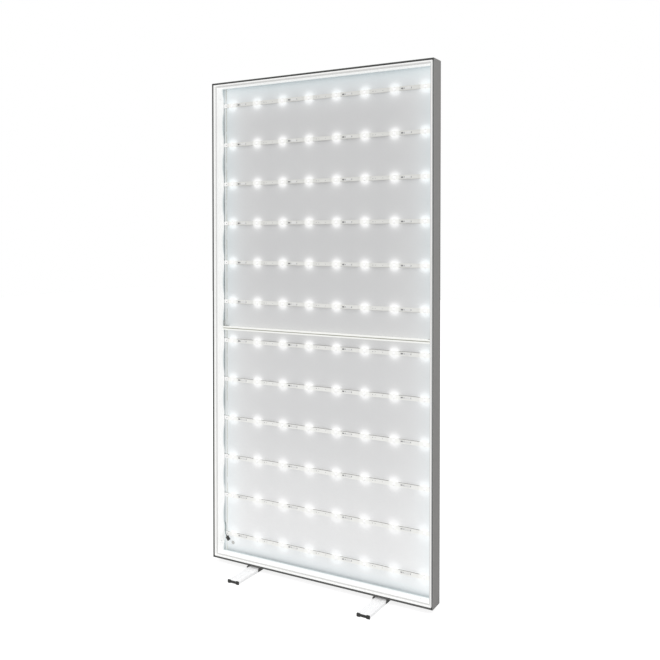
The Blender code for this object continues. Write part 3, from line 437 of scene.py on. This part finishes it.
def steel():
    """Zinc plate with its cloudy crystals."""
    p = Paint("zinc_plated_steel", (0.55, 0.555, 0.57), 0.30, 1.0)
    cloud = p.noise(160.0, 4.0, 0.6)
    clear = p.remap(cloud, 0.3, 0.7)
    p.feed("Base Color", p.blend(clear, (0.47, 0.475, 0.48), (0.62, 0.62, 0.60)))
    p.feed("Roughness", p.remap(cloud, 0.3, 0.7, 0.22, 0.42))
    p.bump(p.noise(900.0, 2.0), 0.1, 0.0002)
    return p.mat


def moulded(name, color, rough, low_glow=0.0):
    """A fine-grained moulding, with painted LED light growing towards the panel's foot where low_glow
    is set.
    """
    p = Paint(name, color, rough, Specular_IOR_Level=0.4)
    grain = p.noise(1400.0, 3.0, 0.7)
    cloud = p.noise(30.0, 3.0)
    lighter = tuple(c * 1.5 + 0.006 for c in color)
    p.feed("Base Color", p.blend(p.remap(cloud, 0.3, 0.75), color, lighter))
    p.feed("Roughness", p.remap(grain, 0.3, 0.7, rough - 0.08, rough + 0.1))
    # painted LED light, stronger towards the panel's foot
    if low_glow:
        p.set("Emission Color", FULL_WHITE)
        p.feed("Emission Strength", p.remap(p.axes()[2], ROW_Z[6], ROW_Z[10], 0.02, low_glow))
    p.bump(grain, 0.35, 0.0002)
    return p.mat


def silicone():
    """Slightly translucent white silicone."""
    p = Paint("silicone_white", (0.80, 0.80, 0.78), 0.5, Subsurface_Weight=0.15)
    p.set("Subsurface Scale", 0.002)
    p.feed("Base Color", p.mottle((0.80, 0.80, 0.78), 0.06, 40.0))
    p.bump(p.noise(900.0, 2.0), 0.1, 0.0002)
    return p.mat


FINISH = {
    "frame": brushed_frame(),
    "board": led_board(),
    "lens": lens(),
    "liner": liner_fabric(),
    "rail": rail_white(),
    "clip": coated("clip_white", (0.82, 0.82, 0.815), 0.40, 0.30),
    "crossbar": crossbar_white(),
    "foot": foot_metal(),
    "steel": steel(),
    "black": moulded("black_moulded_plastic", (0.040, 0.040, 0.037), 0.50),
    "saddle": moulded("saddle_plastic", (0.085, 0.085, 0.080), 0.50),
    "chip": moulded("chip_grey", (0.20, 0.20, 0.205), 0.45, 0.20),
    "rubber": coated("rubber_white", (0.74, 0.74, 0.72), 0.70, speck=1500.0),
    "lead": moulded("lead_grey_teal", (0.20, 0.245, 0.245), 0.45),
    "block": coated("block_white", (0.80, 0.80, 0.79), 0.40, 0.12),
    "silicone": silicone(),
    "solder": coated("solder_tin", (0.55, 0.56, 0.57), 0.30, metal=0.9),
    "thread": coated("sewing_thread", (0.72, 0.725, 0.73), 0.75, speck=2500.0),
}

BY_NAME = [
    ("frame_profile", "frame"), ("corner_key", "steel"), ("grub_screw", "block"),
    ("liner_bead", "silicone"), ("carrier_rail", "rail"), ("led_bar", "board"),
    ("crossbar_bracket", "steel"), ("crossbar_screw", "steel"), ("crossbar", "crossbar"),
    ("wiring_harness", "lead"), ("dc_socket", "black"), ("inlet_grommet", "rubber"),
    ("foot_bar", "foot"), ("foot_saddle", "saddle"), ("foot_cap", "black"),
    ("foot_nut", "steel"), ("foot_bolt", "steel"),
]
for name, item in NODES.items():
    for start, finish in BY_NAME:
        if name.startswith(start):
            item.data.materials.clear()
            item.data.materials.append(FINISH[finish])
            break


# ---------------------------------------------------------------- mesh helpers

def finish_piece(name, shape, finish, body="root", smooth=40.0):
    """Turns a bmesh in row-frame coordinates into a named piece."""
    bmesh.ops.recalc_face_normals(shape, faces=shape.faces[:])
    mesh = bpy.data.meshes.new(name)
    shape.to_mesh(mesh)
    shape.free()
    mesh.materials.append(FINISH[finish])
    if smooth:
        mesh.shade_smooth()
        mesh.set_sharp_from_angle(angle=math.radians(smooth))
    item = bpy.data.objects.new(name, mesh)
    bpy.context.scene.collection.objects.link(item)
    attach(item, body)
    return item


def add_block(shape, centre, size, edge=0.0):
    """A box with its edges rounded."""
    matrix = Matrix.Translation(centre) @ Matrix.Diagonal((*size, 1.0))
    made = bmesh.ops.create_cube(shape, size=1.0, matrix=matrix)
    if edge:
        edges = list({e for v in made["verts"] for e in v.link_edges})
        bmesh.ops.bevel(shape, geom=edges, offset=edge, segments=2, profile=0.5, affect="EDGES",
                        clamp_overlap=True)


def add_turned(shape, centre, profile, sides):
    """A profile of (radius, forward) pairs turned about the -Y axis through centre."""
    rings = []
    for radius, forward in profile:
        if radius <= 0.0:
            rings.append([shape.verts.new((centre[0], centre[1] - forward, centre[2]))])
            continue
        ring = []
        for k in range(sides):
            a = 2 * math.pi * k / sides
            ring.append(shape.verts.new((centre[0] + radius * math.cos(a), centre[1] - forward,
                                         centre[2] + radius * math.sin(a))))
        rings.append(ring)
    for one, two in zip(rings, rings[1:]):
        for k in range(sides):
            m = (k + 1) % sides
            if len(one) == 1:
                shape.faces.new((one[0], two[k], two[m]))
            elif len(two) == 1:
                shape.faces.new((one[k], one[m], two[0]))
            else:
                shape.faces.new((one[k], one[m], two[m], two[k]))
    if len(rings[0]) > 2:
        shape.faces.new(rings[0])
    if len(rings[-1]) > 2:
        shape.faces.new(rings[-1])


def add_tube(shape, points, radius, sides=8):
    """A round tube along a line of points, closed at both ends."""
    points = [Vector(p) for p in points]
    rings = []
    side = None
    for k, here in enumerate(points):
        ahead = points[min(k + 1, len(points) - 1)] - points[max(k - 1, 0)]
        ahead.normalize()
        if side is None:
            side = ahead.orthogonal().normalized()
        side = (side - ahead * side.dot(ahead)).normalized()
        other = ahead.cross(side)
        rings.append([shape.verts.new(here + radius * (math.cos(a) * side + math.sin(a) * other))
                      for a in (2 * math.pi * s / sides for s in range(sides))])
    for one, two in zip(rings, rings[1:]):
        for k in range(sides):
            m = (k + 1) % sides
            shape.faces.new((one[k], one[m], two[m], two[k]))
    shape.faces.new(rings[0])
    shape.faces.new(rings[-1])


# ---------------------------------------------------------------- LED bars

def lenses():
    """A clear dimpled lens over every LED."""
    profile = [(0.0062, -0.0003), (0.0066, 0.0002), (0.0066, 0.0008), (0.0060, 0.0017),
               (0.0048, 0.0026), (0.0033, 0.0031), (0.0018, 0.0030), (0.0, 0.0026)]
    for row, z in enumerate(ROW_Z, start=1):
        shape = bmesh.new()
        for x in LED_X:
            add_turned(shape, (x, BOARD_Y, z), profile, 20)
        finish_piece(f"led_lenses_{row:02d}", shape, "lens", smooth=60.0)


def bar_electronics():
    """Driver chips, connector blocks, resistors and solder pads on every bar."""
    for row, z in enumerate(ROW_Z, start=1):
        chips, blocks, solder = bmesh.new(), bmesh.new(), bmesh.new()
        for index, x in enumerate(LED_X):
            if index % 2 == 0:
                chip_x = x + CHIP_OFFSET
                add_block(chips, (chip_x, BOARD_Y - 0.0008, z), CHIP_SIZE, 0.0003)
                for leg in range(CHIP_LEGS):
                    leg_x = chip_x + (leg - (CHIP_LEGS - 1) / 2) * LEG_PITCH
                    for way in (-1, 1):
                        add_block(solder, (leg_x, BOARD_Y - 0.0003, z + way * 0.0029), LEG_SIZE)
                block_x = x + BLOCK_OFFSET
                add_block(blocks, (block_x, BOARD_Y - 0.0012, z), BLOCK_SIZE, 0.0005)
                for way in (-1, 1):
                    at = (block_x + way * 0.0142, BOARD_Y - 0.0003, z)
                    add_block(solder, at, BLOCK_PAD_SIZE, 0.0001)
            elif index < LED_COUNT - 1:
                for k, offset in enumerate(RESISTOR_OFFSETS):
                    tall = 0.0014 if k else 0.0018
                    body = (tall * 1.5, 0.0007, tall)
                    add_block(solder, (x + offset, BOARD_Y - 0.0004, z), body, 0.0001)
                    for way in (-1, 1):
                        at = (x + offset + way * tall * 0.95, BOARD_Y - 0.0003, z)
                        add_block(solder, at, (0.0008, 0.0006, tall * 1.05))
            for way in (-1, 1):
                add_block(solder, (x, BOARD_Y - 0.0002, z + way * 0.0072), LENS_PAD_SIZE)
        finish_piece(f"bar_chips_{row:02d}", chips, "chip")
        finish_piece(f"bar_blocks_{row:02d}", blocks, "block")
        finish_piece(f"bar_solder_{row:02d}", solder, "solder")


def bar_ends():
    """The clip that holds each end of a bar to its rail, with a domed screw."""
    profile = [(0.0024, -0.0002), (0.0024, 0.0004), (0.0020, 0.0010), (0.0011, 0.0013),
               (0.0, 0.0014)]
    for row, z in enumerate(ROW_Z, start=1):
        clips, screws = bmesh.new(), bmesh.new()
        for way in (-1, 1):
            x = way * (BAR_HIGH.x - CLIP_FROM_END)
            add_block(clips, (x, BOARD_Y - 0.0014, z), CLIP_SIZE, 0.0006)
            add_turned(screws, (x - way * 0.0032, BOARD_Y - 0.0027, z), profile, 16)
        finish_piece(f"bar_end_clips_{row:02d}", clips, "clip")
        finish_piece(f"bar_end_screws_{row:02d}", screws, "steel")


def bar_leads():
    """A short twin lead from the harness behind the frame wall to the left end of each bar."""
    lane_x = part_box("wiring_harness")[0].x + 0.0026
    lane_y = FRONT + LANE_DEPTH
    steps = 12
    for row, z in enumerate(ROW_Z, start=1):
        shape = bmesh.new()
        for k in (-1, 1):
            start = Vector((lane_x, lane_y + 0.0009, z + 0.012 + 0.0018 * k))
            middle = Vector((BAR_LOW.x - 0.0008, lane_y + 0.0006, z + 0.007 + 0.0012 * k))
            end = Vector((BAR_LOW.x + 0.0022, BOARD_Y - 0.0010, z + 0.0025 * k))
            points = []
            for step in range(steps + 1):
                t = step / steps
                points.append((1 - t) ** 2 * start + 2 * t * (1 - t) * middle + t * t * end)
            add_tube(shape, points, LEAD_RADIUS)
        finish_piece(f"bar_leads_{row:02d}", shape, "lead")


lenses()
bar_electronics()
bar_ends()
bar_leads()


# ---------------------------------------------------------------- liner

def grid_lines(low, high, count, hole, half):
    """Evenly spaced lines, with two of them moved to the sides of the hole's cell."""
    lines = [low + (high - low) * k / count for k in range(count + 1)]
    nearest = min(range(count), key=lambda k: abs((lines[k] + lines[k + 1]) / 2 - hole))
    lines[nearest], lines[nearest + 1] = hole - half, hole + half
    return lines, nearest


def build_liner():
    """The stretched cloth: a fine grid with a round hole for the grommet and faint waves."""
    grommet_low, grommet_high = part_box("inlet_grommet")
    cx = (grommet_low.x + grommet_high.x) / 2
    cz = (grommet_low.z + grommet_high.z) / 2
    bore = 0.0061
    cell_half = 0.0075
    deepest_wave = 0.00045
    xs, cell_x = grid_lines(LINER_LOW.x, LINER_HIGH.x, 110, cx, cell_half)
    zs, cell_z = grid_lines(LINER_LOW.z, LINER_HIGH.z, 220, cz, cell_half)
    shape = bmesh.new()
    rows = []
    for z in zs:
        row = []
        for x in xs:
            edge = min(x - LINER_LOW.x, LINER_HIGH.x - x, z - LINER_LOW.z, LINER_HIGH.z - z)
            free = min(1.0, max(0.0, (edge - 0.02) / 0.12))
            wave = noise.noise((x * 3.1, z * 2.3, 4.7)) + 0.5 * noise.noise((x * 7.0, z * 5.0, 1.3))
            off_hole = min(1.0, max(0.0, (math.hypot(x - cx, z - cz) - 0.02) / 0.05))
            push = deepest_wave * free * off_hole * (0.5 + 0.5 * max(-1.0, min(1.0, wave)))
            row.append(shape.verts.new((x, LINER_LOW.y + push, z)))
        rows.append(row)
    ring = [shape.verts.new((cx + bore * math.cos(a), LINER_LOW.y, cz + bore * math.sin(a)))
            for a in (math.pi / 4 + math.pi * k / 8 for k in range(16))]
    for j in range(len(zs) - 1):
        for i in range(len(xs) - 1):
            quad = (rows[j][i], rows[j][i + 1], rows[j + 1][i + 1], rows[j + 1][i])
            if (i, j) != (cell_x, cell_z):
                shape.faces.new(quad)
                continue
            corners = (quad[2], quad[3], quad[0], quad[1])
            for side in range(4):
                arc = [ring[(side * 4 + k) % 16] for k in range(5)]
                shape.faces.new([corners[side], *arc, corners[(side + 1) % 4]])
    bmesh.ops.recalc_face_normals(shape, faces=shape.faces[:])
    mesh = bpy.data.meshes.new("liner_cloth")
    shape.to_mesh(mesh)
    shape.free()
    mesh.materials.append(FINISH["liner"])
    mesh.shade_smooth()
    cloth = bpy.data.objects.new("liner_cloth", mesh)
    bpy.context.scene.collection.objects.link(cloth)
    thick = cloth.modifiers.new("thickness", "SOLIDIFY")
    thick.thickness = LINER_HIGH.y - LINER_LOW.y
    thick.offset = 1.0 if mesh.polygons[0].normal.y > 0 else -1.0
    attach(cloth, "root")
    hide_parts("rear_liner")


def build_stitches():
    """A lockstitch round the liner's edge, where its beads are sewn on."""
    shape = bmesh.new()
    y = LINER_HIGH.y + 0.00012
    dip = Vector((0, -0.0003, 0))
    left, right = LINER_LOW.x + STITCH_INSET, LINER_HIGH.x - STITCH_INSET
    bottom, top = LINER_LOW.z + STITCH_INSET, LINER_HIGH.z - STITCH_INSET
    corners = [(left, bottom), (right, bottom), (right, top), (left, top)]
    for (x0, z0), (x1, z1) in zip(corners, corners[1:] + corners[:1]):
        length = math.hypot(x1 - x0, z1 - z0)
        count = int(length / STITCH_PITCH)
        ahead = Vector(((x1 - x0) / length, 0.0, (z1 - z0) / length))
        for k in range(count):
            start = Vector((x0, y, z0)) + ahead * (STITCH_PITCH * k + 0.0006)
            points = [start + dip, start + ahead * 0.0006, start + ahead * 0.0026,
                      start + ahead * 0.0032 + dip]
            add_tube(shape, points, 0.00022, 4)
    finish_piece("liner_stitching", shape, "thread", smooth=80.0)


def grommet_plug():
    """A soft blank in the bore of the unused cable grommet."""
    low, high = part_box("inlet_grommet")
    shape = bmesh.new()
    profile = [(0.0034, -0.0012), (0.0034, 0.0), (0.0028, 0.0003), (0.0, 0.0003)]
    add_turned(shape, ((low.x + high.x) / 2, low.y + 0.0004, (low.z + high.z) / 2), profile, 20)
    finish_piece("grommet_plug", shape, "rubber")


build_liner()
build_stitches()
grommet_plug()


# ---------------------------------------------------------------- stage, light and camera

def stage_floor():
    """A pale floor, as bright to the eye as the backdrop."""
    shape = bmesh.new()
    bmesh.ops.create_grid(shape, x_segments=2, y_segments=2, size=14.0)
    mesh = bpy.data.meshes.new("studio_floor")
    shape.to_mesh(mesh)
    shape.free()
    p = Paint("studio_floor_white", (0.45, 0.45, 0.45), 0.7, Specular_IOR_Level=0.1)
    p.feed("Base Color", p.mottle((0.45, 0.45, 0.45), 0.01, 0.8))
    p.set("Emission Color", FULL_WHITE)
    seen = p.node("ShaderNodeLightPath").outputs["Is Camera Ray"]
    p.feed("Emission Strength", p.remap(seen, 0.0, 1.0, FLOOR_SHED, FLOOR_SEEN, smooth=False))
    mesh.materials.append(p.mat)
    floor = bpy.data.objects.new("studio_floor", mesh)
    bpy.context.scene.collection.objects.link(floor)


def surroundings():
    """A white backdrop to the eye, a softer light all round, and a broad light from overhead."""
    world = bpy.data.worlds.new("studio_white")
    world.use_nodes = True
    tree = world.node_tree
    back = tree.nodes["Background"]
    back.inputs["Color"].default_value = FULL_WHITE
    seen = tree.nodes.new("ShaderNodeLightPath")
    level = tree.nodes.new("ShaderNodeMapRange")
    level.inputs["To Min"].default_value = AMBIENT
    level.inputs["To Max"].default_value = 1.0
    tree.links.new(seen.outputs["Is Camera Ray"], level.inputs["Value"])
    tree.links.new(level.outputs["Result"], back.inputs["Strength"])
    bpy.context.scene.world = world
    data = bpy.data.lights.new("overhead", "SUN")
    data.energy = OVERHEAD
    data.angle = math.radians(60.0)
    item = bpy.data.objects.new("overhead", data)
    item.rotation_euler = (math.radians(8.0), math.radians(6.0), 0.0)
    bpy.context.scene.collection.objects.link(item)


def camera():
    """The camera, in front and to the right of the panel, at a standing eye's height."""
    data = bpy.data.cameras.new("camera")
    data.sensor_width = CAMERA_SENSOR
    data.lens = CAMERA_LENS
    data.shift_y = CAMERA_SHIFT
    data.clip_start = 0.05
    data.clip_end = 60.0
    item = bpy.data.objects.new("camera", data)
    item.location = CAMERA_PLACE
    item.rotation_euler = (math.radians(90.0 - CAMERA_DIP), 0.0, math.radians(CAMERA_TURN))
    bpy.context.scene.collection.objects.link(item)
    bpy.context.scene.camera = item


stage_floor()
surroundings()
camera()
bpy.context.scene.view_settings.view_transform = "Standard"
bpy.context.scene.view_settings.look = "None"
